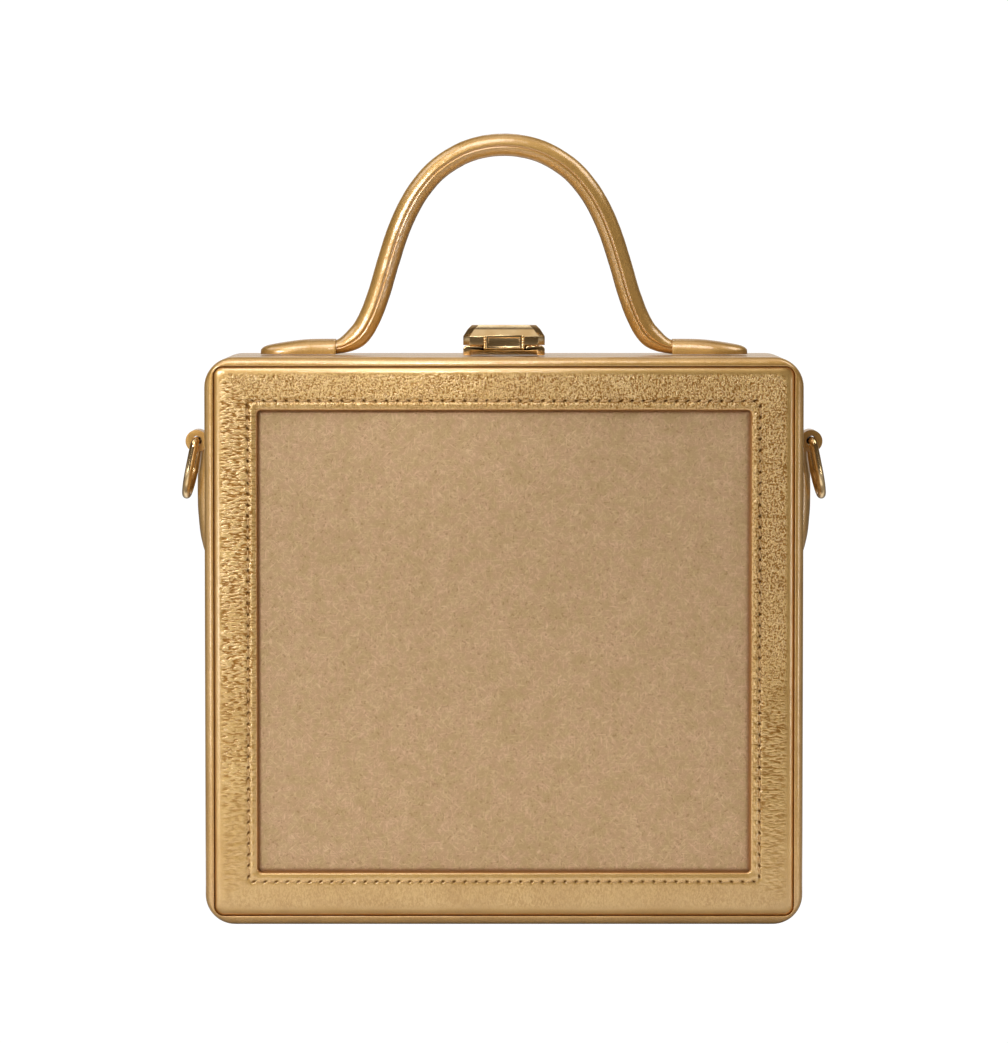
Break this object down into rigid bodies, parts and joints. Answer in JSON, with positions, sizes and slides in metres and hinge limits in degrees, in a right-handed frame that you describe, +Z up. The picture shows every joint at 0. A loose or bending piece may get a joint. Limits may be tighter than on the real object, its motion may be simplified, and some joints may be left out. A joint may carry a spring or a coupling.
{
  "type": "box bag",
  "caption": "Rigid box bag with a framed face panel, rolled top handle, flip-up clasp, side strap rings and a front shell that hinges open along the bottom.",
  "frame": {"origin": "centre of the bag's footprint, on the surface it stands on", "axes": "+Z up to the handle, -Y out of the framed face, +X to the right of someone who looks at that face"},
  "size_m": [0.2184, 0.072, 0.2649],
  "materials": {
    "gold_leather": "smooth bronze-gold metallic leather, satin",
    "grained_leather": "crackle-grained gold metallic leather",
    "tan_felt": "pressed tan felt with short fibres, matte",
    "pale_brass": "polished pale gold"
  },
  "bodies": {
    "case": {"back_shell": "gold_leather", "back_face": "gold_leather", "handle": "gold_leather", "handle_tab_left": "gold_leather", "handle_tab_right": "gold_leather", "side_tab_left": "gold_leather", "side_tab_right": "gold_leather", "clasp_base": "pale_brass", "clasp_pin": "pale_brass", "hinge_leaf_back": "pale_brass", "hinge_pin": "pale_brass"},
    "front": {"front_shell": "gold_leather", "front_frame": "grained_leather", "front_panel": "tan_felt", "clasp_catch": "pale_brass", "hinge_leaf_front": "pale_brass"},
    "lever": {"clasp_lever": "pale_brass"},
    "ring_left": {"strap_ring_left": "pale_brass"},
    "ring_right": {"strap_ring_right": "pale_brass"}
  },
  "joints": [
    {"name": "case_hinge", "type": "hinge", "parent": "case", "child": "front", "pos_m": [0, -0.012, 0.0023], "axis": [1, 0, 0], "range_deg": [0, 80]},
    {"name": "clasp_hinge", "type": "hinge", "parent": "case", "child": "lever", "pos_m": [0, -0.0085, 0.1953], "axis": [-1, 0, 0], "range_deg": [0, 60]},
    {"name": "ring_swing_left", "type": "hinge", "parent": "case", "child": "ring_left", "pos_m": [-0.10405, 0, 0.161], "axis": [0, 1, 0], "range_deg": [-6, 150]},
    {"name": "ring_swing_right", "type": "hinge", "parent": "case", "child": "ring_right", "pos_m": [0.10405, 0, 0.161], "axis": [0, -1, 0], "range_deg": [-6, 150]}
  ]
}
